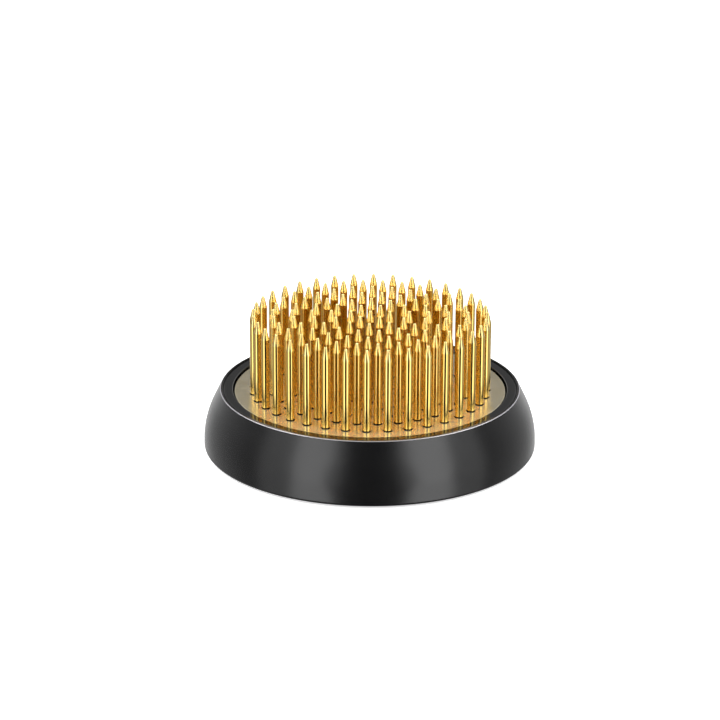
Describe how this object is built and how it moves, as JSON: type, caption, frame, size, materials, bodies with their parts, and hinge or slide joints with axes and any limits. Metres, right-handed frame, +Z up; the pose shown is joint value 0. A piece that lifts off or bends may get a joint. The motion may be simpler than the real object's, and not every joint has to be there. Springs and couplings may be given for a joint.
{
  "type": "kenzan pin holder",
  "caption": "Round pin holder for flower stems: brass needles in concentric rings on a heavy cast plate, which lifts out of a domed black casing with a gloss inner ring.",
  "frame": {"origin": "centre of the foot pad's underside, on the surface that the holder stands on", "axes": "+Z up along the axis of the rings of needles; the holder is round, so +X and +Y are free choices, with -Y towards the viewer"},
  "size_m": [0.0516, 0.0516, 0.0221],
  "materials": {
    "casing_black": "satin black moulding",
    "ring_gloss": "gloss black",
    "pad_rubber": "fine matt texture",
    "plate_alloy": "satin cast and faced",
    "needle_brass": "polished drawn wire with turned points"
  },
  "bodies": {
    "casing": {"casing": "casing_black", "inner_ring": "ring_gloss", "foot_pad": "pad_rubber"},
    "pin_block": {"pin_plate": "plate_alloy", "centre_needle": "needle_brass", "needle_ring_1": "needle_brass", "needle_ring_2": "needle_brass", "needle_ring_3": "needle_brass", "needle_ring_4": "needle_brass", "needle_ring_5": "needle_brass", "needle_ring_6": "needle_brass"}
  },
  "joints": [
    {"name": "plate_lift", "type": "slide", "parent": "casing", "child": "pin_block", "axis": [0, 0, 1], "range_m": [0, 0.02]}
  ]
}
